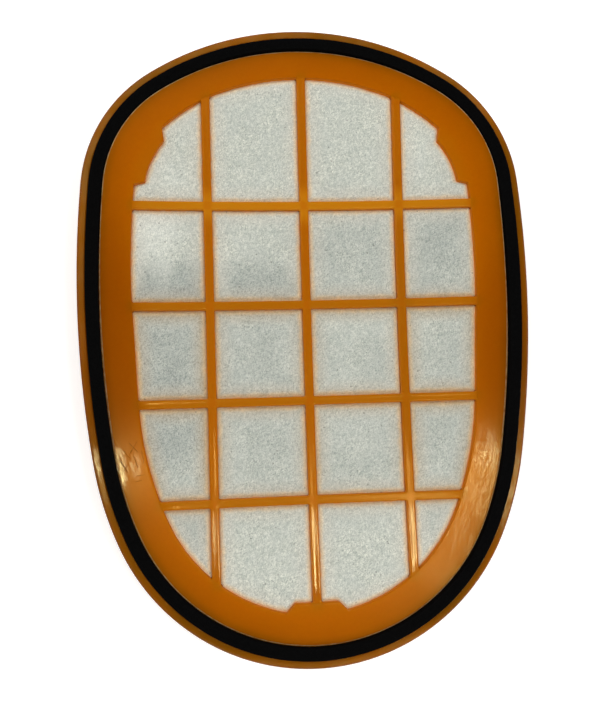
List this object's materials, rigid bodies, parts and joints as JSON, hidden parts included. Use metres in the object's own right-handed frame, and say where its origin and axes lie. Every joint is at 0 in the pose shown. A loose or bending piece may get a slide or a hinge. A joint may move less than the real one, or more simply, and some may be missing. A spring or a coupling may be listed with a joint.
{
  "type": "vacuum filter",
  "caption": "Egg-shaped exhaust filter cartridge: an orange frame with a dished rib grid over white fleece, a black foam gasket round its rim and a pleated pack in the rear skirt.",
  "frame": {"origin": "centre of the overall box seen from above, on the plane of the skirt's foot", "axes": "+Z out of the gasket side, +Y towards the broad end, +X to the right when the gasket side is seen with the broad end up"},
  "size_m": [0.1486, 0.2086, 0.024],
  "materials": {
    "orange_plastic": "satin moulded plastic with fine scratches",
    "black_foam": "matte closed-cell foam",
    "white_fleece": "fuzzy non-woven fleece",
    "filter_paper": "matte filter paper",
    "hot_glue": "slightly waxy glue"
  },
  "bodies": {
    "root": {"frame": "orange_plastic", "gasket": "black_foam", "fleece": "white_fleece", "pleated_pack": "filter_paper", "edge_sealant": "hot_glue", "spacer_beads": "hot_glue"}
  },
  "joints": []
}
